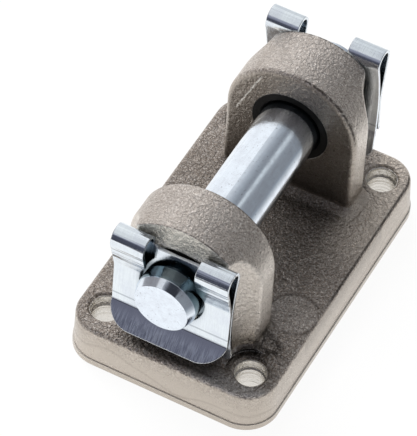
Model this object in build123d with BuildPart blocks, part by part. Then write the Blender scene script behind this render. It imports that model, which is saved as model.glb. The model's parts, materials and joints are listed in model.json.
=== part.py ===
from build123d import *
from math import asin, atan, cos, degrees, hypot, radians, sin, sqrt
import os

# Rear clevis mount of a 32 mm bore pneumatic cylinder, in millimetres.
# Origin: centre of the mounting face. Z points up to the pin, Y runs along the pin.

# Clevis casting, standard interface
ear_gap = 26.0
ear_span = 45.0
pin_diameter = 10.0
pin_height = 22.0

# Clevis casting, plate
plate_width = 35.0
plate_length = 56.0
plate_thickness = 7.8
plate_corner_radius = 5.6
plate_edge_round = 0.8
plate_foot_chamfer = 0.3
parting_height = 1.4
parting_step = 0.15
draft_angle = 3.0

# Clevis casting, ears
crown_radius = 11.25
ear_base_fillet = 1.8
inner_rim_round = 0.9

# Screw holes and the seats of the screw heads
hole_side_margin = 5.0
hole_end_margin = 5.7
hole_diameter = 4.5
cast_hole_diameter = 4.9
cast_hole_depth = 2.3
hole_mouth_chamfer = 0.5
screw_head_diameter = 7.0
screw_head_room = 1.0
screw_seat_margin = 0.5
scoop_ridge_round = 1.0

# Bushes
bush_wall = 1.5
bush_mouth_chamfer = 0.3
running_clearance = 0.05

# Pin
pin_overhang = 6.05
pin_bevel_length = 1.5
pin_bevel_depth = 0.55
groove_depth = 1.0
groove_play = 0.1

# Retaining clips
clip_width = 19.6
clip_sheet = 0.5
clip_seat_gap = 0.05
clip_bow = 1.2
clip_foot_rise = 0.5
clip_foot_reach = 0.95
loop_radius = 1.75
front_loop_rise = 4.0
rear_loop_rise = 6.2
waist_reach = 2.35
waist_rise = 0.9
waist_bend_radius = 6.0
crease_reach = 2.8
crease_drop = 6.7
crease_bend_radius = 0.6
flap_length = 4.1
flap_flare = 45.0
flap_corner_radius = 4.4
flap_straight = 0.35
pin_window_gap = 0.5
loop_gap = 8.6
dip_web = 2.05
dip_corner_radius = 1.2
leaf_corner_radius = 1.5
slot_lead_in = 0.8

hole_spacing_x = plate_width - 2 * hole_side_margin
hole_spacing_y = plate_length - 2 * hole_end_margin
pin_radius = pin_diameter / 2
ear_thickness = (ear_span - ear_gap) / 2
ear_face = ear_span / 2
bush_bore_radius = pin_radius + running_clearance
bush_outer_radius = bush_bore_radius + bush_wall
scoop_radius = screw_head_diameter / 2 + screw_head_room
seat_radius = screw_head_diameter / 2 + screw_seat_margin
groove_radius = pin_radius - groove_depth
overlap = 1.0

os.makedirs("parts", exist_ok=True)


# One ear of the casting
with BuildPart() as ear:
    # straight flanks under a round crown about the pin axis
    with BuildSketch(Plane.XZ.offset(-ear_gap / 2)):
        with Locations((0, plate_thickness - overlap)):
            Rectangle(
                2 * crown_radius,
                pin_height - plate_thickness + overlap,
                align=(Align.CENTER, Align.MIN),
            )
        with Locations((0, pin_height)):
            Circle(crown_radius)
    extrude(amount=-ear_thickness)

    # scoops that let each screw's head and key pass, with rounded ridges
    with BuildSketch(Plane.XY.offset(plate_thickness - overlap)):
        with GridLocations(hole_spacing_x, hole_spacing_y, 2, 2):
            Circle(scoop_radius)
    extrude(amount=pin_height + crown_radius, mode=Mode.SUBTRACT)
    ridges = ear.edges(Select.LAST).filter_by(
        lambda edge: edge.geom_type != GeomType.CIRCLE and edge.center().Z > plate_thickness
    )
    fillet(ridges, scoop_ridge_round)

    # rounded rim of the inner face, over the crown and down both flanks
    inner_rim = ear.faces().sort_by(Axis.Y)[0].edges().filter_by(
        lambda edge: edge.center().Z > plate_thickness
    )
    fillet(inner_rim, inner_rim_round)


# Clevis casting: a drafted plate that carries the two ears
with BuildPart() as clevis_body:
    # foot band below the parting line
    with BuildSketch():
        RectangleRounded(plate_width, plate_length, plate_corner_radius)
    extrude(amount=parting_height)
    chamfer(clevis_body.faces().sort_by(Axis.Z)[0].edges(), plate_foot_chamfer)

    # drafted upper part of the plate, a small step inside the foot band
    with BuildSketch(Plane.XY.offset(parting_height)):
        RectangleRounded(
            plate_width - 2 * parting_step,
            plate_length - 2 * parting_step,
            plate_corner_radius - parting_step,
        )
    extrude(amount=plate_thickness - parting_height, taper=draft_angle)
    fillet(clevis_body.faces().sort_by(Axis.Z)[-1].edges(), plate_edge_round)

    # ears, with a fillet where they rise from the plate
    add(ear.part)
    mirror(ear.part, about=Plane.XZ)
    ear_roots = clevis_body.edges().filter_by(
        lambda edge: abs(edge.center().Z - plate_thickness) < 0.01
        and abs(edge.center().X) < crown_radius + 0.01
        and abs(edge.center().Y) < ear_face + 0.01
    )
    fillet(ear_roots, ear_base_fillet)

    # bores for the bushes
    with BuildSketch(Plane.XZ.offset(ear_face + overlap)):
        with Locations((0, pin_height)):
            Circle(bush_outer_radius)
    extrude(amount=-(ear_span + 2 * overlap), mode=Mode.SUBTRACT)

    # flat seats for the screw heads, cut into the fillets at the foot of the scoops
    with BuildSketch(Plane.XY.offset(plate_thickness)):
        with GridLocations(hole_spacing_x, hole_spacing_y, 2, 2):
            Circle(seat_radius)
    extrude(amount=ear_base_fillet, mode=Mode.SUBTRACT)

    # screw holes: cast wide at the top, drilled to size below, chamfered mouth
    with Locations((0, 0, plate_thickness)):
        with GridLocations(hole_spacing_x, hole_spacing_y, 2, 2):
            CounterBoreHole(hole_diameter / 2, cast_hole_diameter / 2, cast_hole_depth)
    hole_mouths = clevis_body.edges().filter_by(GeomType.CIRCLE).filter_by(
        lambda edge: abs(edge.radius - cast_hole_diameter / 2) < 0.01
        and abs(edge.center().Z - plate_thickness) < 0.01
    )
    chamfer(hole_mouths, hole_mouth_chamfer)
clevis_body.part.label = "clevis_body"
export_step(clevis_body.part, "parts/clevis_body.step")


# Plain bushes, flush with both faces of their ear
with BuildPart() as bush_rear:
    with BuildSketch(Plane.XZ.offset(-ear_gap / 2)):
        with Locations((0, pin_height)):
            Circle(bush_outer_radius)
            Circle(bush_bore_radius, mode=Mode.SUBTRACT)
    extrude(amount=-ear_thickness)
    bore_mouths = bush_rear.edges().filter_by(GeomType.CIRCLE).filter_by(
        lambda edge: edge.radius < bush_bore_radius + 0.01
    )
    chamfer(bore_mouths, bush_mouth_chamfer)
bush_rear.part.label = "bush_rear"
export_step(bush_rear.part, "parts/bush_rear.step")

with BuildPart() as bush_front:
    mirror(bush_rear.part, about=Plane.XZ)
bush_front.part.label = "bush_front"
export_step(bush_front.part, "parts/bush_front.step")


# Clip profile, in the plane across X. Reach is measured out from the ear's face.
clip_foot = plate_thickness + ear_base_fillet + clip_foot_rise
leaf_seat = clip_seat_gap + clip_sheet / 2
loop_reach = leaf_seat + loop_radius
waist_height = pin_height + waist_rise
crease_height = pin_height - crease_drop
flap_end_reach = crease_reach + flap_length * sin(radians(flap_flare))
flap_end_height = crease_height - flap_length * cos(radians(flap_flare))
# the corner arcs are larger than the flap is long, and run out on its sides just below the crease
corner_drop = min(flap_corner_radius, flap_length - flap_straight)
corner_reach = sqrt(flap_corner_radius**2 - (flap_corner_radius - corner_drop) ** 2)
slot_radius = groove_radius + running_clearance
dip_height = pin_height + slot_radius + dip_web
front_loop_top = pin_height + pin_radius + front_loop_rise
rear_loop_top = pin_height + pin_radius + rear_loop_rise


def bowed_leaf(loop_height):
    """Upper end, slope there, radius and centre of the arc from the clip's foot up to its loop."""
    rise = loop_height - clip_foot
    slope = 2 * atan(2 * clip_bow / rise) + atan((clip_foot_reach - leaf_seat) / rise)
    end_reach = loop_reach - loop_radius * cos(slope)
    end_height = loop_height - loop_radius * sin(slope)
    lean = atan((clip_foot_reach - end_reach) / (end_height - clip_foot))
    radius = hypot(end_height - clip_foot, clip_foot_reach - end_reach) / 2 / sin(slope - lean)
    centre = (end_reach - radius * cos(slope), end_height - radius * sin(slope))
    return (end_reach, end_height), slope, radius, centre


def seat(reach, height):
    """Point of the rear clip's profile in the YZ plane, its reach measured from the ear."""
    return (ear_face + reach, height)


def front_view(reach):
    """Upright plane facing along the pin, at a reach from the rear ear's face."""
    return Plane.XZ.offset(-ear_face - reach)


def spring_clip(loop_top):
    """Clip on the rear ear: one strip of spring steel, folded over into two leaves."""
    loop_height = loop_top - clip_sheet / 2 - loop_radius
    leaf_end, leaf_slope, leaf_radius, leaf_centre = bowed_leaf(loop_height)
    leaf_front = leaf_centre[0] + leaf_radius + clip_sheet / 2

    # the outer leaf leaves its loop along the tangent that runs to the waist
    waist_from_loop = hypot(loop_reach - waist_reach, loop_height - waist_height)
    neck_slope = asin(loop_radius / waist_from_loop) - atan(
        (waist_reach - loop_reach) / (loop_height - waist_height)
    )
    neck_start = seat(
        loop_reach + loop_radius * cos(neck_slope),
        loop_height - loop_radius * sin(neck_slope),
    )
    waist = seat(waist_reach, waist_height)
    crease = seat(crease_reach, crease_height)

    with BuildPart() as clip:
        # outer leaf: loop over the top, waist at the pin, crease and flared flap
        with BuildSketch(Plane.YZ):
            with BuildLine() as outer_line:
                CenterArc(
                    seat(loop_reach, loop_height),
                    loop_radius,
                    -degrees(neck_slope),
                    180 + degrees(neck_slope + leaf_slope),
                )
                Polyline(neck_start, waist, crease, seat(flap_end_reach, flap_end_height))
                for bend, bend_radius in ((waist, waist_bend_radius), (crease, crease_bend_radius)):
                    fillet(outer_line.vertices().sort_by_distance(bend)[0], bend_radius)
            trace(outer_line.line, line_width=clip_sheet)
        extrude(amount=clip_width / 2, both=True)

        # window round the pin, open upwards between the two loops
        with BuildSketch(front_view(0)):
            with Locations((0, pin_height)):
                Circle(pin_radius + pin_window_gap)
                Rectangle(loop_gap, loop_top, align=(Align.CENTER, Align.MIN))
        extrude(amount=-flap_end_reach, mode=Mode.SUBTRACT)

        # rounded corners of the flap, in a plane whose Y runs down the flap
        flap = Plane(
            origin=(0, *seat(crease_reach, crease_height)),
            x_dir=(1, 0, 0),
            z_dir=(0, cos(radians(flap_flare)), sin(radians(flap_flare))),
        )
        with BuildSketch(flap):
            with Locations((0, flap_length + overlap)):
                Rectangle(
                    clip_width + 2 * overlap,
                    flap_corner_radius + overlap,
                    align=(Align.CENTER, Align.MAX),
                )
            with Locations((0, flap_length)):
                RectangleRounded(
                    clip_width + 2 * (flap_corner_radius - corner_reach),
                    3 * flap_corner_radius,
                    flap_corner_radius,
                    align=(Align.CENTER, Align.MAX),
                    mode=Mode.SUBTRACT,
                )
        extrude(amount=clip_sheet, both=True, mode=Mode.SUBTRACT)

        # inner leaf, bowed off the ear
        with BuildSketch(Plane.YZ):
            with BuildLine() as inner_line:
                TangentArc(
                    seat(*leaf_end),
                    seat(clip_foot_reach, clip_foot),
                    tangent=(sin(leaf_slope), -cos(leaf_slope)),
                )
            trace(inner_line.line, line_width=clip_sheet)
        extrude(amount=clip_width / 2, both=True)

        # dip between the loops, and the slot that rides in the pin's groove
        with BuildSketch(front_view(leaf_front)):
            with BuildSketch(mode=Mode.PRIVATE) as dip:
                with Locations((0, dip_height)):
                    Rectangle(loop_gap, loop_top, align=(Align.CENTER, Align.MIN))
                fillet(dip.vertices().group_by(Axis.Y)[0], dip_corner_radius)
            add(dip.sketch)
            with Locations((0, pin_height)):
                Circle(slot_radius)
                Rectangle(2 * slot_radius, pin_height, align=(Align.CENTER, Align.MAX))
        extrude(amount=leaf_front + overlap, mode=Mode.SUBTRACT)

        # feet of the inner leaf: lead-in at the slot, rounded outer corners
        foot_edges = clip.edges().filter_by(
            lambda edge: edge.length < clip_sheet + 0.01
            and abs(edge.center().Z - clip_foot) < clip_sheet
            and edge.center().Y < ear_face + leaf_front
        )
        chamfer(foot_edges.filter_by(lambda edge: abs(edge.center().X) < clip_width / 4), slot_lead_in)
        fillet(foot_edges.filter_by(lambda edge: abs(edge.center().X) > clip_width / 4), leaf_corner_radius)
    return clip.part


# Rear clip, its loops a little taller
with BuildPart() as clip_rear:
    add(spring_clip(rear_loop_top))
clip_rear.part.label = "clip_rear"
export_step(clip_rear.part, "parts/clip_rear.step")

# Front clip, turned round to face the other way
with BuildPart() as clip_front:
    add(spring_clip(front_loop_top), rotation=(0, 0, 180))
clip_front.part.label = "clip_front"
export_step(clip_front.part, "parts/clip_front.step")


# Clevis pin: a bevel at each end, and grooves as wide as the leaves' bow across the pin
leaf_reaches = []
for loop_top in (front_loop_top, rear_loop_top):
    _, _, bow_radius, bow_centre = bowed_leaf(loop_top - clip_sheet / 2 - loop_radius)
    above_centre = pin_height + pin_radius - bow_centre[1]
    leaf_reaches.append(bow_centre[0] + sqrt(bow_radius**2 - above_centre**2))
    leaf_reaches.append(bow_centre[0] + bow_radius)
groove_start = ear_face + min(leaf_reaches) - clip_sheet / 2 - groove_play
groove_end = ear_face + max(leaf_reaches) + clip_sheet / 2 + groove_play
pin_end = ear_face + pin_overhang

with BuildPart() as clevis_pin:
    # half section, drawn from the pin's axis
    with BuildSketch(Plane(origin=(0, 0, pin_height), x_dir=(0, 1, 0), z_dir=(1, 0, 0))):
        with BuildLine():
            Polyline(
                (0, 0),
                (pin_end, 0),
                (pin_end, pin_radius - pin_bevel_depth),
                (pin_end - pin_bevel_length, pin_radius),
                (groove_end, pin_radius),
                (groove_end, groove_radius),
                (groove_start, groove_radius),
                (groove_start, pin_radius),
                (0, pin_radius),
                close=True,
            )
        make_face()
    revolve(axis=Axis((0, 0, pin_height), (0, 1, 0)))
    mirror(about=Plane.XZ)
clevis_pin.part.label = "clevis_pin"
export_step(clevis_pin.part, "parts/clevis_pin.step")
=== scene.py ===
import json
import math

import bpy
from mathutils import Matrix, Vector

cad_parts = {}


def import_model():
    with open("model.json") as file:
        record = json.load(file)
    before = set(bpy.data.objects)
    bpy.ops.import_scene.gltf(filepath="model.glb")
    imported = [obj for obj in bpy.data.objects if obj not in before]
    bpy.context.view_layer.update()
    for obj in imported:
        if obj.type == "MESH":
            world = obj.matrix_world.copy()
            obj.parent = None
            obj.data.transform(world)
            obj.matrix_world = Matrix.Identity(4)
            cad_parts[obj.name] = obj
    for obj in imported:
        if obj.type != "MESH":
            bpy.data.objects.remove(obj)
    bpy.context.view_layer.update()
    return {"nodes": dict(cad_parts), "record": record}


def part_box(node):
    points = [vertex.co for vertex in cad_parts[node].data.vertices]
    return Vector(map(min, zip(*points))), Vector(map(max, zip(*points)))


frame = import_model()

NODES = frame["nodes"]
MOUNTS = {mount["name"]: mount for mount in frame["record"]["mounts"]}
MM = 0.001


def mm(*values):
    """Millimetres in metres."""
    return tuple(value * MM for value in values)


def past(start, *values):
    """Places that many millimetres past a start in metres."""
    return tuple(start + value * MM for value in values)


# Places taken from the frame
SCREWS = MOUNTS["fixing_screws"]["dims"]
HOLES = mm(SCREWS["spacing_x_mm"] / 2, SCREWS["spacing_y_mm"] / 2)
SEAT = MOUNTS["rod_eye_seat"]
PIN_HEIGHT = SEAT["pos_m"][2]
PIN_TOP = PIN_HEIGHT + SEAT["dims"]["r_mm"] * MM
PIN_END_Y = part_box("clevis_pin")[1].y
EAR_INNER_Y = SEAT["dims"]["length_mm"] * MM / 2

# Sizes and heights that the frame doesn't name
EAR_THICKNESS = 9.5 * MM
EAR_OUTER_Y = EAR_INNER_Y + EAR_THICKNESS
PLATE_TOP = 7.8 * MM
CREASE = 15.6 * MM
ROUNDING = mm(0.01, 0.22)

# Spans of height over which the casting's looks come in or go out
ROUNDED_FROM = mm(2.0, 3.0)
OVER_FOOT = mm(3.0, 7.0)
PLATE_EDGE = past(PLATE_TOP, -0.5, -0.2)
NEAR_TOP = past(PLATE_TOP, -0.4, -0.2)
EAR_ROOT = past(PLATE_TOP, 0.5, 1.7)
EAR_SIDE = mm(9.0, 13.0)
SHOULDER = mm(22.0, 25.0)
LAND_FOOT = mm(24.0, 27.0)
CROWN_RIM = mm(29.0, 30.0)
CROWN = mm(29.0, 32.0)

# Spans measured from a hole's axis, from an ear's inner face, and from its outer face
HOLE_EDGE = mm(2.50, 2.62)
INNER_SKIN = mm(0.05, 0.3)
OUTER_PARTS = mm(0.4, 1.4)
LAND_SKIN = mm(-0.2, -0.1)

# Painted light and shade on the plate's top, lighter and darker stretches: the spans over which they come in
# or go out
BEHIND_EDGE_Y = mm(-26.0, -23.0)
FRONT_STRIP_X = mm(0.0, 9.0)
FRONT_STRIP_Y = mm(-25.5, -23.5)
REAR_RIGHT_X = mm(8.0, 12.0)
REAR_RIGHT_Y = mm(0.0, 11.0)
REAR_EDGE_Y = mm(18.0, 24.0)
UNDER_CLIP_X = mm(-11.0, -4.0), mm(6.0, 10.0)
UNDER_CLIP_Y = mm(-26.9, -26.1), mm(-22.0, -20.0)
HOLE_SHADE = mm(10.6, -19.4)
HOLE_SHADE_HALVES = mm(2.8, 0.9)

# Marks that the die and the tools left on the casting
RAGGED_SWING = 1.2 * MM
FLOW_SWING = 9.0 * MM
EJECTOR = mm(13.0, -9.3)
EJECTOR_RADIUS = 3.9 * MM
EJECTOR_DISC = past(EJECTOR_RADIUS, -0.4, 0.0)
SCUFF = mm(11.2, -16.8)
SCUFF_HALVES = mm(4.2, 2.8)
SCUFF_TOP = mm(9.5, 10.5)
BURR_X = mm(15.8, 16.2)
BURR_Y = mm(-8.0, -2.0)
INNER_RIM_X = mm(-1.0, 3.0)
WITNESS_X, WITNESS_HEIGHT = mm(-9.4, 21.5)
WITNESS_LEAN = (0.912, 0.411)
WITNESS_SPAN = mm(21.0, 22.0), mm(30.0, 30.8)
WITNESS_DEPTH = past(EAR_INNER_Y, -0.3, -0.2), past(EAR_INNER_Y, 0.2, 0.4)

# Fine lines: place of the middle, half the width, and the soft width beside it
PARTING_LINE = mm(1.4, 0.02, 0.02)
FLOW_LINE = mm(3.4, 0.03, 0.40)
BURR_LINE = mm(7.62, 0.08, 0.08)
EJECTOR_RING = (EJECTOR_RADIUS, *mm(0.08, 0.35))
INNER_RIM = mm(0.42, 0.05, 0.20)
OUTER_RIM = mm(-0.05, 0.04, 0.20)
WITNESS_LINE = mm(0.0, 0.06, 0.14)
CLIP_LINE = (CREASE + 1.3 * MM, *mm(0.05, 0.22))

# Colours of the casting, as linear colours: its finishes, and the tones painted on as light and shade
CAST_COLOUR = (0.55, 0.494, 0.450)
CAST_LIT_WALL = (0.58, 0.52, 0.455)
CAST_LIT_FLANK = (0.79, 0.73, 0.665)
CAST_DARK = (0.20, 0.16, 0.13)
CAST_BRIGHT = (0.86, 0.82, 0.79)
CAST_WARM_LIGHT = (0.92, 0.81, 0.70)
CAST_SHADE_AND_MARKS = (0.045, 0.037, 0.030)
CAST_LAND_LIT = (0.97, 0.94, 0.85)
CAST_WITNESS = (0.97, 0.94, 0.88)
CAST_SEAM_PAINTED_LIGHT = (0.98, 0.95, 0.90)
MACHINED_COLOUR = (0.84, 0.81, 0.76)

# Finishes of the other pieces, and the tones painted on them as light and shade
PIN_COLOUR = (0.84, 0.91, 0.99)
PIN_CLOUD = (0.66, 0.69, 0.76)
PIN_DRAWN = (0.58, 0.60, 0.66)
PIN_PIT = (0.26, 0.27, 0.29)
PIN_SHADE_NEAR_PARTS = (0.07, 0.11, 0.12)
PIN_BAND_SHADE = (0.10, 0.16, 0.18)
CLIP_COLOUR = (0.83, 0.89, 0.93)
CLIP_CLOUD = (0.70, 0.74, 0.84)
CLIP_STREAK = (0.37, 0.40, 0.47)
CLIP_FOLD_SHADE = (0.07, 0.10, 0.12)
CLIP_DARK_LINE = (0.33, 0.36, 0.40)
CLIP_CREASE_SHADE = (0.30, 0.31, 0.37)
CLIP_CUT_AND_HIGHLIGHT = (0.95, 0.96, 0.97)
BUSH_COLOUR = (0.010, 0.0095, 0.009)
BUSH_WORN = (0.015, 0.014, 0.013)

# Camera
VIEW_AZIMUTH = 25.804
VIEW_ELEVATION = 49.671
VIEW_ROLL = 3.217
VIEW_DISTANCE = 0.5355
LENS_MM = 277.17
AIM = Vector((-0.010269, 0.007197, 0.0))

# Studio: the cards round the object reach this far from its middle and this high
CARD_REACH = 0.25
CARD_TOP = 0.33
CARD_LEFT_X = -0.13
CARD_BACK_Y = 0.04
GROUND_X = 0.034
GROUND_HEIGHT = 0.2 * MM
FLOOR_HALF = 4.0
FLOOR_COLOUR = (0.9, 0.9, 0.9)
FLOOR_GLOW = 0.95
WHITE = (1.0, 1.0, 1.0)
DARK = (0.252, 0.265, 0.285)
AMBIENT_COLOUR = (1.0, 0.93, 0.84)
AMBIENT_STRENGTH = 0.25
KEY_PLACE = Vector((-0.55, 0.35, 0.75))
KEY_SIZE = 0.8
KEY_WATTS = 24.0


class Tree:
    """The node tree of a material or a world, with short calls for making its nodes."""

    def __init__(self, owner):
        owner.use_nodes = True
        self.tree = owner.node_tree

    def node(self, kind, inputs=None, **settings):
        made = self.tree.nodes.new(kind)
        for key, value in settings.items():
            setattr(made, key, value)
        for key, value in (inputs or {}).items():
            self.feed(made.inputs[key], value)
        return made

    def feed(self, socket, value):
        if isinstance(value, bpy.types.NodeSocket):
            self.tree.links.new(value, socket)
        elif socket.type == "RGBA":
            socket.default_value = (*value, 1.0)
        else:
            socket.default_value = value

    def math(self, operation, a, b=0.0):
        return self.node("ShaderNodeMath", {0: a, 1: b}, operation=operation).outputs[0]


class Shader(Tree):
    """One material, its colour painted in layers."""

    def __init__(self, name, colour, metallic, roughness):
        self.material = bpy.data.materials.new(name)
        super().__init__(self.material)
        self.surface = self.tree.nodes["Principled BSDF"]
        self.set("Base Color", colour)
        self.set("Metallic", metallic)
        self.set("Roughness", roughness)
        self.place = self.node("ShaderNodeTexCoord").outputs["Object"]
        self.colour = colour

    def set(self, socket, value):
        self.feed(self.surface.inputs[socket], value)

    def axes(self):
        split = self.node("ShaderNodeSeparateXYZ", {0: self.place})
        return split.outputs["X"], split.outputs["Y"], split.outputs["Z"]

    def noise(self, size, detail=2.0, roughness=0.5, stretch=(1.0, 1.0, 1.0), distortion=0.0):
        """Noise with features of about that size, drawn out along the stretched axes."""
        scale = tuple(1.0 / (size * s) for s in stretch)
        scaled = self.node("ShaderNodeMapping", {"Vector": self.place, "Scale": scale}).outputs[0]
        texture = self.node(
            "ShaderNodeTexNoise",
            {
                "Vector": scaled,
                "Scale": 1.0,
                "Detail": detail,
                "Roughness": roughness,
                "Distortion": distortion,
            },
        )
        return texture.outputs["Fac"]

    def ramp(self, value, low, high, out_low, out_high):
        """Value eased from one range to another."""
        ranged = self.node(
            "ShaderNodeMapRange",
            {"Value": value, "From Min": low, "From Max": high, "To Min": out_low, "To Max": out_high},
            interpolation_type="SMOOTHSTEP",
        )
        return ranged.outputs["Result"]

    def rise(self, value, span):
        return self.ramp(value, *span, 0.0, 1.0)

    def fall(self, value, span):
        return self.ramp(value, *span, 1.0, 0.0)

    def window(self, value, way_in, way_out):
        """1 between two spans, easing in over the first and out over the second."""
        return self.times(self.rise(value, way_in), self.fall(value, way_out))

    def band(self, value, middle, half, soft):
        """1 within the half width round the middle, easing to 0 over the soft width."""
        off = self.math("ABSOLUTE", self.math("SUBTRACT", value, middle))
        return self.fall(off, (half, half + soft))

    def offsets(self, x, y, middle):
        return [self.math("SUBTRACT", value, centre) for value, centre in zip((x, y), middle)]

    def squares(self, offsets):
        """Sum of the squares of two offsets."""
        return self.math("ADD", *(self.math("MULTIPLY", off, off) for off in offsets))

    def from_axis(self, x, y, middle):
        """Distance from an upright axis."""
        return self.math("SQRT", self.squares(self.offsets(x, y, middle)))

    def patch(self, x, y, middle, halves, span):
        """1 in an oval patch, easing to 0 over that span of the squared distance in half sizes."""
        offsets = [self.math("DIVIDE", off, half) for off, half in zip(self.offsets(x, y, middle), halves)]
        return self.fall(self.squares(offsets), span)

    def times(self, *values):
        total = values[0]
        for value in values[1:]:
            total = self.math("MULTIPLY", total, value)
        return total

    def mix(self, factor, a, b):
        return self.node("ShaderNodeMix", {0: factor, 6: a, 7: b}, data_type="RGBA").outputs[2]

    def mix_value(self, factor, a, b):
        return self.node("ShaderNodeMix", {0: factor, 2: a, 3: b}, data_type="FLOAT").outputs[0]

    def paint(self, tone, *masks, share=1.0):
        """Lays a tone over the colour so far, where all the masks are 1, for that share."""
        factor = self.times(*masks)
        if share < 1.0:
            factor = self.times(factor, share)
        self.colour = self.mix(factor, self.colour, tone)

    def bump(self, height, strength, depth, normal=None):
        inputs = {"Height": height, "Strength": strength, "Distance": depth}
        if normal is not None:
            inputs["Normal"] = normal
        return self.node("ShaderNodeBump", inputs).outputs["Normal"]

    def rounded_edges(self, radius):
        return self.node("ShaderNodeBevel", {"Radius": radius}, samples=6).outputs["Normal"]

    def edges(self, rounded, low, high):
        """1 at the edges that the rounding finds, 0 on the open faces."""
        true_normal = self.node("ShaderNodeNewGeometry").outputs["Normal"]
        along = self.node("ShaderNodeVectorMath", {0: rounded, 1: true_normal}, operation="DOT_PRODUCT")
        return self.fall(along.outputs["Value"], (low, high))

    def openness(self, distance, alone=True):
        """1 in the open, lower in corners and hollows of the piece alone, or near other pieces too."""
        return self.node(
            "ShaderNodeAmbientOcclusion", {"Distance": distance}, samples=12, only_local=alone
        ).outputs["AO"]

    def facing_up(self):
        """Height of the surface normal, 1 on level tops."""
        normal = self.node("ShaderNodeNewGeometry").outputs["Normal"]
        return self.node("ShaderNodeSeparateXYZ", {0: normal}).outputs["Z"]

    def finish(self, roughness, normal):
        self.set("Base Color", self.colour)
        self.set("Roughness", roughness)
        self.set("Normal", normal)

    def assign(self, *names):
        for name in names:
            materials = NODES[name].data.materials
            materials.clear()
            materials.append(self.material)


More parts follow.
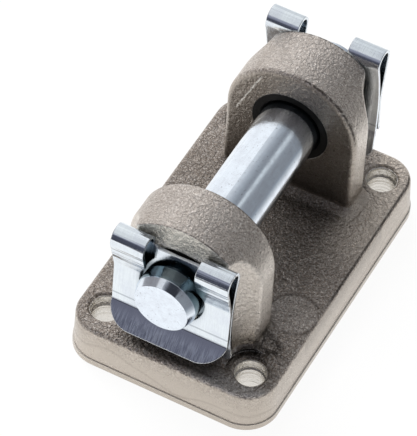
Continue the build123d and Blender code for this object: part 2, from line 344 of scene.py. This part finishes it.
class CastAluminium(Shader):
    """Blasted die casting, with machined holes."""

    def __init__(self):
        super().__init__("cast_aluminium", CAST_COLOUR, metallic=0.85, roughness=0.3)
        self.x, self.y, self.z = self.axes()
        self.up = self.facing_up()
        self.side_x = self.math("ABSOLUTE", self.x)
        self.side_y = self.math("ABSOLUTE", self.y)
        self.from_inner = self.math("SUBTRACT", self.side_y, EAR_INNER_Y)
        self.from_outer = self.math("SUBTRACT", self.side_y, EAR_OUTER_Y)
        self.find_textures()
        self.find_regions()
        self.paint_skin()
        self.paint_plate()
        self.paint_shade_in_hollows()
        self.paint_plate_marks()
        self.paint_ear_marks()
        self.paint_sides_and_holes()
        self.finish(self.polish(), self.relief())

    def find_textures(self):
        """Textures from the finest to the widest, and where the rims are chipped."""
        self.grain = self.noise(0.28 * MM, roughness=0.6)
        self.waves = self.noise(0.64 * MM, roughness=0.55, distortion=0.8)
        self.lumps = self.noise(1.6 * MM)
        self.mottle = self.noise(5.5 * MM)
        self.chipped = self.rise(self.waves, (0.35, 0.5))

    def find_regions(self):
        """Masks of the plate's top, level skin, walls, ears, outer parts, screw holes and parting step."""
        self.above = self.rise(self.z, OVER_FOOT)
        swing = self.times(self.math("SUBTRACT", self.waves, 0.5), RAGGED_SWING)
        ragged = self.math("ADD", self.z, swing)
        self.plate_top = self.times(self.rise(ragged, PLATE_EDGE), self.fall(self.z, EAR_ROOT))
        upper_skin = self.times(self.above, self.ramp(self.up, 0.2, 0.8, 0.35, 0.65))
        self.level = self.math("MAXIMUM", self.plate_top, upper_skin)
        self.steep = self.fall(self.up, (0.15, 0.55))
        self.raised = self.rise(self.z, EAR_SIDE)
        self.outside = self.rise(self.from_inner, OUTER_PARTS)
        self.in_hole = self.fall(self.from_axis(self.side_x, self.side_y, HOLES), HOLE_EDGE)
        self.seam = self.times(self.band(self.z, *PARTING_LINE), self.rise(self.up, (0.5, 0.9)))

    def paint_skin(self):
        """Walls and outer flanks painted lighter as painted light, dark flecks and creases, bright grains,
        and crowns painted a little lighter as painted light.
        """
        # painted light: the walls, and the ears' outer flanks, painted lighter as if lit
        self.paint(CAST_LIT_WALL, self.fall(self.up, (0.2, 0.8)))
        self.paint(CAST_LIT_FLANK, self.steep, self.raised, self.outside)
        fleck = self.math("ADD", self.times(self.grain, 0.7), self.times(self.mottle, 0.3))
        crease = self.fall(self.math("ABSOLUTE", self.math("SUBTRACT", self.waves, 0.5)), (0.0, 0.085))
        self.paint(CAST_DARK, self.fall(fleck, (0.36, 0.62)), self.level, share=0.55)
        self.paint(CAST_DARK, self.rise(crease, (0.0, 1.0)), self.level, share=0.75)
        self.paint(CAST_BRIGHT, self.rise(self.grain, (0.54, 0.70)), self.level, share=0.75)
        # painted light: the tops of the crowns painted a little lighter
        self.paint(CAST_BRIGHT, self.rise(self.z, CROWN), self.rise(self.up, (0.75, 1.0)), share=0.15)

    def paint_plate(self):
        """Painted light and shade: lighter and darker stretches of the plate's top."""
        # painted shade: the plate's top darker behind its front edge
        self.paint(CAST_DARK, self.plate_top, self.rise(self.y, BEHIND_EDGE_Y), share=0.20)
        # painted light: a lighter strip along the front edge, towards the right
        lit_front_strip = self.times(self.fall(self.y, FRONT_STRIP_Y), self.rise(self.x, FRONT_STRIP_X))
        self.paint(CAST_BRIGHT, self.plate_top, lit_front_strip, share=0.45)
        # painted light: a warm lighter stretch at the rear right
        lit_rear_right = self.times(self.rise(self.x, REAR_RIGHT_X), self.rise(self.y, REAR_RIGHT_Y))
        self.paint(CAST_WARM_LIGHT, self.plate_top, lit_rear_right, self.ramp(self.y, *REAR_EDGE_Y, 0.62, 0.45))
        # painted shade: under the front clip, and in an oval patch near the front right
        shade_under_clip = self.times(self.window(self.x, *UNDER_CLIP_X), self.window(self.y, *UNDER_CLIP_Y))
        shade_by_hole = self.patch(self.x, self.y, HOLE_SHADE, HOLE_SHADE_HALVES, (0.4, 1.6))
        shaded = self.math("MAXIMUM", shade_under_clip, shade_by_hole)
        self.paint(CAST_SHADE_AND_MARKS, self.plate_top, shaded, share=0.75)

    def paint_shade_in_hollows(self):
        """Painted shade in the corners, in the space between the ears, and on the ears' inner faces."""
        between = self.times(self.above, self.math("SUBTRACT", 1.0, self.outside))
        # painted shade: darker where the piece's own walls are close
        self.paint(CAST_SHADE_AND_MARKS, self.fall(self.openness(30.0 * MM), (0.20, 0.97)), between, share=0.96)
        self.paint(CAST_SHADE_AND_MARKS, self.fall(self.openness(4.0 * MM), (0.45, 0.97)), self.above, share=0.85)
        self.paint(CAST_SHADE_AND_MARKS, self.fall(self.from_inner, INNER_SKIN), self.steep, self.above, share=0.22)

    def paint_plate_marks(self):
        """Ejector mark, scuffed foot of the front ear, and the burr along the plate's right edge."""
        on_top = self.rise(self.z, NEAR_TOP)
        from_mark = self.from_axis(self.x, self.y, EJECTOR)
        ring = self.times(self.band(from_mark, *EJECTOR_RING), self.rise(self.lumps, (0.35, 0.6)))
        self.paint(CAST_SHADE_AND_MARKS, ring, on_top, share=0.55)
        self.paint(CAST_BRIGHT, self.fall(from_mark, EJECTOR_DISC), on_top, share=0.10)
        torn = self.rise(self.noise(1.3 * MM, detail=4.0, roughness=0.7, distortion=1.0), (0.40, 0.54))
        scuff = self.patch(self.x, self.y, SCUFF, SCUFF_HALVES, (0.4, 1.2))
        self.paint(CAST_SHADE_AND_MARKS, scuff, torn, self.fall(self.z, SCUFF_TOP), self.above, share=0.8)
        burr = self.times(self.band(self.z, *BURR_LINE), self.rise(self.x, BURR_X), self.rise(self.y, BURR_Y))
        self.paint(CAST_SHADE_AND_MARKS, burr, self.ramp(self.waves, 0.28, 0.45, 0.3, 0.85))

    def paint_ear_marks(self):
        """Ragged rims, flat lands at the tops of the outer faces painted pale as painted light, and a witness
        line of the die.
        """
        inner_rim = self.times(self.band(self.from_inner, *INNER_RIM), self.rise(self.x, INNER_RIM_X))
        self.paint(CAST_SHADE_AND_MARKS, inner_rim, self.rise(self.z, SHOULDER), self.chipped, share=0.75)
        outer_rim = self.times(self.band(self.from_outer, *OUTER_RIM), self.rise(self.up, (0.3, 0.6)))
        self.paint(CAST_SHADE_AND_MARKS, outer_rim, self.rise(self.z, CROWN_RIM), self.chipped, share=0.8)
        # painted light: the tops of the ears' outer faces painted pale, as a lit patch
        land = self.times(self.rise(self.from_outer, LAND_SKIN), self.rise(self.z, LAND_FOOT))
        self.paint(CAST_LAND_LIT, land, self.steep, share=0.6)
        across = self.times(self.math("SUBTRACT", self.x, WITNESS_X), WITNESS_LEAN[0])
        upward = self.times(self.math("SUBTRACT", self.z, WITNESS_HEIGHT), WITNESS_LEAN[1])
        witness = self.band(self.math("SUBTRACT", across, upward), *WITNESS_LINE)
        inside = self.times(self.window(self.z, *WITNESS_SPAN), self.window(self.y, *WITNESS_DEPTH))
        self.paint(CAST_WITNESS, witness, inside, share=0.9)

    def paint_sides_and_holes(self):
        """Flow line along the plate's sides, edges lightened for wear and as a painted highlight, machined
        holes, and the parting step painted pale as painted light.
        """
        wander = self.times(self.math("SUBTRACT", self.noise(14.0 * MM, detail=1.5), 0.5), FLOW_SWING)
        flow = self.band(self.math("ADD", self.z, wander), *FLOW_LINE)
        self.paint(CAST_DARK, flow, self.fall(self.up, (0.1, 0.3)), share=0.20)
        self.soft = self.rounded_edges(self.ramp(self.z, *ROUNDED_FROM, *ROUNDING))
        # lighter edges: partly wear, partly a painted highlight
        worn_and_highlit = self.times(self.edges(self.soft, 0.90, 0.995), self.rise(self.grain, (0.35, 0.55)))
        self.paint(CAST_BRIGHT, worn_and_highlit, self.above, share=0.65)
        self.paint(MACHINED_COLOUR, self.in_hole)
        # painted light: the parting step painted nearly white, so that it doesn't render as a dark line
        self.paint(CAST_SEAM_PAINTED_LIGHT, self.seam)

    def polish(self):
        """Roughness: the parting step is dull, and the holes are smoother than the skin."""
        skin = self.mix_value(self.seam, self.ramp(self.grain, 0.3, 0.7, 0.27, 0.34), 0.7)
        return self.mix_value(self.in_hole, skin, 0.25)

    def relief(self):
        """Lumps, waves and grain over the rounded edges, with turned rings in the holes."""
        skin = self.bump(self.lumps, 0.4, 0.10 * MM, self.soft)
        skin = self.bump(self.times(self.waves, self.level), 1.0, 0.52 * MM, skin)
        skin = self.bump(self.grain, 0.6, 0.08 * MM, skin)
        turned = self.noise(0.45 * MM, detail=1.0, stretch=(30.0, 30.0, 1.0))
        return self.bump(self.times(turned, self.in_hole), 1.0, 0.2 * MM, skin)


def plated_pin():
    """Ground steel pin, bright zinc plated, its bevelled ends turned."""
    s = Shader("plated_pin", PIN_COLOUR, metallic=1.0, roughness=0.14)
    along = s.math("ABSOLUTE", s.axes()[1])
    cloud = s.noise(1.8 * MM, detail=4.0, roughness=0.65)
    drawn = s.noise(0.9 * MM, stretch=(1.0, 7.0, 1.0))
    pits = s.noise(0.32 * MM, detail=1.0)
    s.paint(PIN_CLOUD, s.rise(cloud, (0.35, 0.68)), share=0.35)
    s.paint(PIN_DRAWN, s.rise(drawn, (0.50, 0.72)), share=0.22)
    s.paint(PIN_PIT, s.rise(pits, (0.69, 0.75)), share=0.6)
    # painted shade: the pin darker where other pieces are close
    s.paint(PIN_SHADE_NEAR_PARTS, s.fall(s.openness(5.0 * MM, alone=False), (0.40, 0.95)), share=0.92)
    # painted shade: a dark band on the pin just inside each bevel
    shaded_band = s.window(along, past(PIN_END_Y, -5.0, -4.2), past(PIN_END_Y, -1.65, -1.5))
    s.paint(PIN_BAND_SHADE, shaded_band, share=0.82)

    # grinding marks, and lathe marks round the bevels
    ground = s.noise(0.14 * MM, detail=3.0, stretch=(14.0, 1.0, 14.0))
    lathe = s.noise(0.35 * MM, stretch=(40.0, 1.0, 40.0))
    on_bevel = s.rise(along, past(PIN_END_Y, -1.55, -1.45))
    height = s.math("ADD", ground, s.times(lathe, on_bevel, 5.0))
    relief = s.bump(height, 0.35, 0.01 * MM, s.rounded_edges(0.1 * MM))
    s.finish(s.ramp(cloud, 0.3, 0.7, 0.10, 0.20), relief)
    return s


def plated_spring_steel():
    """Bright zinc plated strip, rolled along its length."""
    s = Shader("plated_spring_steel", CLIP_COLOUR, metallic=1.0, roughness=0.10)
    _, y, z = s.axes()
    on_flap = s.ramp(z, *past(CREASE, -2.0, 0.0), 1.0, 0.12)
    rolled = s.noise(0.18 * MM, detail=3.0, roughness=0.6, stretch=(1.0, 16.0, 16.0))
    cloud = s.noise(2.4 * MM, detail=3.0, roughness=0.6)
    s.paint(CLIP_CLOUD, s.rise(cloud, (0.35, 0.70)), share=0.35)
    s.paint(CLIP_STREAK, s.fall(rolled, (0.40, 0.58)), on_flap, share=0.75)

    # painted shade in the folds, weaker over the pin, then a dark line over the crease and painted shade
    # under it
    folds = s.fall(s.openness(2.0 * MM, alone=False), (0.35, 0.90))
    s.paint(CLIP_FOLD_SHADE, folds, s.ramp(z, *past(PIN_TOP, -0.4, 0.4), 1.0, 0.25), share=0.85)
    s.paint(CLIP_DARK_LINE, s.band(z, *CLIP_LINE), share=0.6)
    s.paint(CLIP_CREASE_SHADE, s.window(z, past(CREASE, -2.0, -0.5), past(CREASE, -0.1, 0.1)), share=0.6)
    # cut edges lighter: partly bright cut metal, partly a painted highlight
    soft = s.rounded_edges(0.22 * MM)
    s.paint(CLIP_CUT_AND_HIGHLIGHT, s.edges(soft, 0.80, 0.99), share=0.7)

    # marks along the bends of the loops
    on_loop = s.rise(z, past(PIN_HEIGHT, 3.2, 4.2))
    off_ear = s.rise(s.math("ABSOLUTE", y), past(EAR_OUTER_Y, 1.5, 1.9))
    bent = s.noise(1.0 * MM, roughness=0.6, stretch=(30.0, 1.0, 1.0))
    marks = s.bump(s.times(bent, on_loop, off_ear), 0.8, 0.20 * MM, soft)
    polish = s.ramp(s.math("ADD", rolled, cloud), 0.7, 1.3, 0.07, 0.20)
    s.finish(polish, s.bump(s.times(rolled, on_flap), 0.8, 0.10 * MM, marks))
    return s


def bush_polymer():
    """Moulded black bearing polymer."""
    s = Shader("bush_polymer", BUSH_COLOUR, metallic=0.0, roughness=0.5)
    s.set("Specular IOR Level", 0.2)
    turned = s.noise(0.3 * MM)
    s.paint(BUSH_WORN, s.rise(turned, (0.3, 0.7)), share=0.5)
    s.finish(s.ramp(turned, 0.3, 0.7, 0.42, 0.58), s.bump(turned, 0.3, 0.02 * MM))
    return s


def cleared(owner):
    """Node tree of a material or a world, emptied."""
    made = Tree(owner)
    made.tree.nodes.clear()
    return made


def shown_to_eye(t):
    """1 for rays that show the background: from the camera, or in metal and glass."""
    path = t.node("ShaderNodeLightPath").outputs
    either = t.math("MAXIMUM", path["Is Camera Ray"], path["Is Glossy Ray"])
    return t.math("MAXIMUM", either, path["Is Transmission Ray"])


def world():
    """White surround, plain level light."""
    made = bpy.data.worlds.new("studio")
    bpy.context.scene.world = made
    t = cleared(made)
    shown = t.node("ShaderNodeBackground", {"Color": WHITE})
    ambient = t.node("ShaderNodeBackground", {"Color": AMBIENT_COLOUR, "Strength": AMBIENT_STRENGTH})
    choice = t.node("ShaderNodeMixShader", {0: shown_to_eye(t), 1: ambient.outputs[0], 2: shown.outputs[0]})
    t.node("ShaderNodeOutputWorld", {"Surface": choice.outputs[0]})


def flat(name, corners):
    """One face with four corners, and the empty tree of its material."""
    mesh = bpy.data.meshes.new(name)
    mesh.from_pydata(corners, [], [(0, 1, 2, 3)])
    made = bpy.data.objects.new(name, mesh)
    bpy.context.scene.collection.objects.link(made)
    material = bpy.data.materials.new(name)
    mesh.materials.append(material)
    return made, cleared(material)


def floor():
    """Pale table that keeps a light shadow of the object."""
    h = FLOOR_HALF
    table, t = flat("floor", [(-h, -h, 0), (h, -h, 0), (h, h, 0), (-h, h, 0)])
    matte = t.node("ShaderNodeBsdfDiffuse", {"Color": FLOOR_COLOUR})
    white = t.node("ShaderNodeEmission", {"Color": WHITE, "Strength": 1.0})
    share = t.math("MULTIPLY", shown_to_eye(t), FLOOR_GLOW)
    choice = t.node("ShaderNodeMixShader", {0: share, 1: matte.outputs[0], 2: white.outputs[0]})
    t.node("ShaderNodeOutputMaterial", {"Surface": choice.outputs[0]})


def card(name, corners, axis, stops):
    """Card that only the metal reflects, its tone running through the stops along one axis."""
    made, t = flat(name, corners)
    low, high = stops[0][0], stops[-1][0]
    coords = t.node("ShaderNodeTexCoord").outputs["Object"]
    along = t.node("ShaderNodeSeparateXYZ", {0: coords}).outputs[axis]
    ranged = t.node("ShaderNodeMapRange", {"Value": along, "From Min": low, "From Max": high})
    tones = t.node("ShaderNodeValToRGB", {0: ranged.outputs["Result"]})
    elements = tones.color_ramp.elements
    for index, (place, colour) in enumerate(stops):
        position = (place - low) / (high - low)
        stop = elements[index] if index < 2 else elements.new(position)
        stop.position = position
        stop.color = (*colour, 1.0)
    glow = t.node("ShaderNodeEmission", {"Color": tones.outputs["Color"]})
    t.node("ShaderNodeOutputMaterial", {"Surface": glow.outputs[0]})
    for ray in ("camera", "diffuse", "transmission", "volume_scatter", "shadow"):
        setattr(made, "visible_" + ray, False)


def cards():
    """White on the left and above it, dark at the front, right and top, with one bright gap."""
    h, top = CARD_REACH, CARD_TOP
    left, back = CARD_LEFT_X, CARD_BACK_Y
    ground, low = GROUND_X, GROUND_HEIGHT
    across = [
        (left, WHITE),
        (-0.060, (0.65, 0.67, 0.69)),
        (-0.002, (0.45, 0.47, 0.50)),
        (0.059, (0.34, 0.36, 0.385)),
        (0.115, DARK),
        (0.165, (0.28, 0.295, 0.32)),
        (0.190, (0.66, 0.69, 0.70)),
        (0.232, (0.62, 0.65, 0.67)),
        (h, (0.30, 0.32, 0.35)),
    ]
    front = [
        (0.0, (0.055, 0.058, 0.075)),
        (0.14, (0.075, 0.078, 0.105)),
        (0.17, (0.24, 0.245, 0.305)),
        (top, (0.36, 0.366, 0.44)),
    ]
    over = [
        (-h, (0.35, 0.34, 0.34)),
        (-0.21, (0.72, 0.71, 0.72)),
        (-0.105, (0.80, 0.81, 0.82)),
        (-0.065, (0.72, 0.73, 0.75)),
        (-0.035, (0.16, 0.17, 0.20)),
        (0.0, (0.035, 0.037, 0.045)),
        (h, (0.035, 0.037, 0.045)),
    ]
    side = [
        (-h, (0.22, 0.22, 0.25)),
        (0.0, (0.30, 0.29, 0.30)),
        (0.14, (0.95, 0.96, 0.98)),
    ]
    below = [
        (ground, (0.90, 0.90, 0.90)),
        (0.060, (0.50, 0.52, 0.54)),
        (0.120, (0.26, 0.28, 0.31)),
        (h, DARK),
    ]
    side_end = side[-1][0]
    card("card_back", [(left, h, 0), (h, h, 0), (h, h, top), (left, h, top)], "X", across)
    card("card_top", [(left, back, top), (h, back, top), (h, h, top), (left, h, top)], "X", across)
    card("card_right", [(h, -h, 0), (h, h, 0), (h, h, top), (h, -h, top)], "Z", [(0.0, DARK), (top, DARK)])
    card("card_front", [(-h, -h, 0), (h, -h, 0), (h, -h, top), (-h, -h, top)], "Z", front)
    card("card_over", [(-h, -h, top), (h, -h, top), (h, back, top), (-h, back, top)], "X", over)
    card("card_left", [(-h, -h, 0), (-h, side_end, 0), (-h, side_end, top), (-h, -h, top)], "Y", side)
    card("card_ground", [(ground, -h, low), (h, -h, low), (h, h, low), (ground, h, low)], "X", below)


def key_lamp():
    """Soft square lamp, aimed at the middle of the object."""
    data = bpy.data.lights.new("key", "AREA")
    data.shape = "SQUARE"
    data.size = KEY_SIZE
    data.energy = KEY_WATTS
    made = bpy.data.objects.new("key", data)
    made.location = KEY_PLACE
    aim = Vector((0, 0, PIN_HEIGHT / 2)) - KEY_PLACE
    made.rotation_euler = aim.to_track_quat("-Z", "Y").to_euler()
    made.visible_glossy = False
    bpy.context.scene.collection.objects.link(made)


def camera():
    """Long lens above the front right corner, aimed at the middle of the picture."""
    azimuth, elevation = math.radians(VIEW_AZIMUTH), math.radians(VIEW_ELEVATION)
    level = math.cos(elevation)
    back = Vector((math.sin(azimuth) * level, -math.cos(azimuth) * level, math.sin(elevation)))
    data = bpy.data.cameras.new("camera")
    data.sensor_width = 36.0
    data.lens = LENS_MM
    data.clip_start = 0.01
    data.clip_end = 20.0
    made = bpy.data.objects.new("camera", data)
    turn = (-back).to_track_quat("-Z", "Y").to_matrix().to_4x4()
    roll = Matrix.Rotation(math.radians(VIEW_ROLL), 4, "Z")
    made.matrix_world = Matrix.Translation(AIM + back * VIEW_DISTANCE) @ turn @ roll
    bpy.context.scene.collection.objects.link(made)
    bpy.context.scene.camera = made


CastAluminium().assign("clevis_body")
plated_pin().assign("clevis_pin")
plated_spring_steel().assign("clip_front", "clip_rear")
bush_polymer().assign("bush_front", "bush_rear")

world()
floor()
cards()
key_lamp()
camera()
bpy.context.scene.view_settings.view_transform = "Standard"
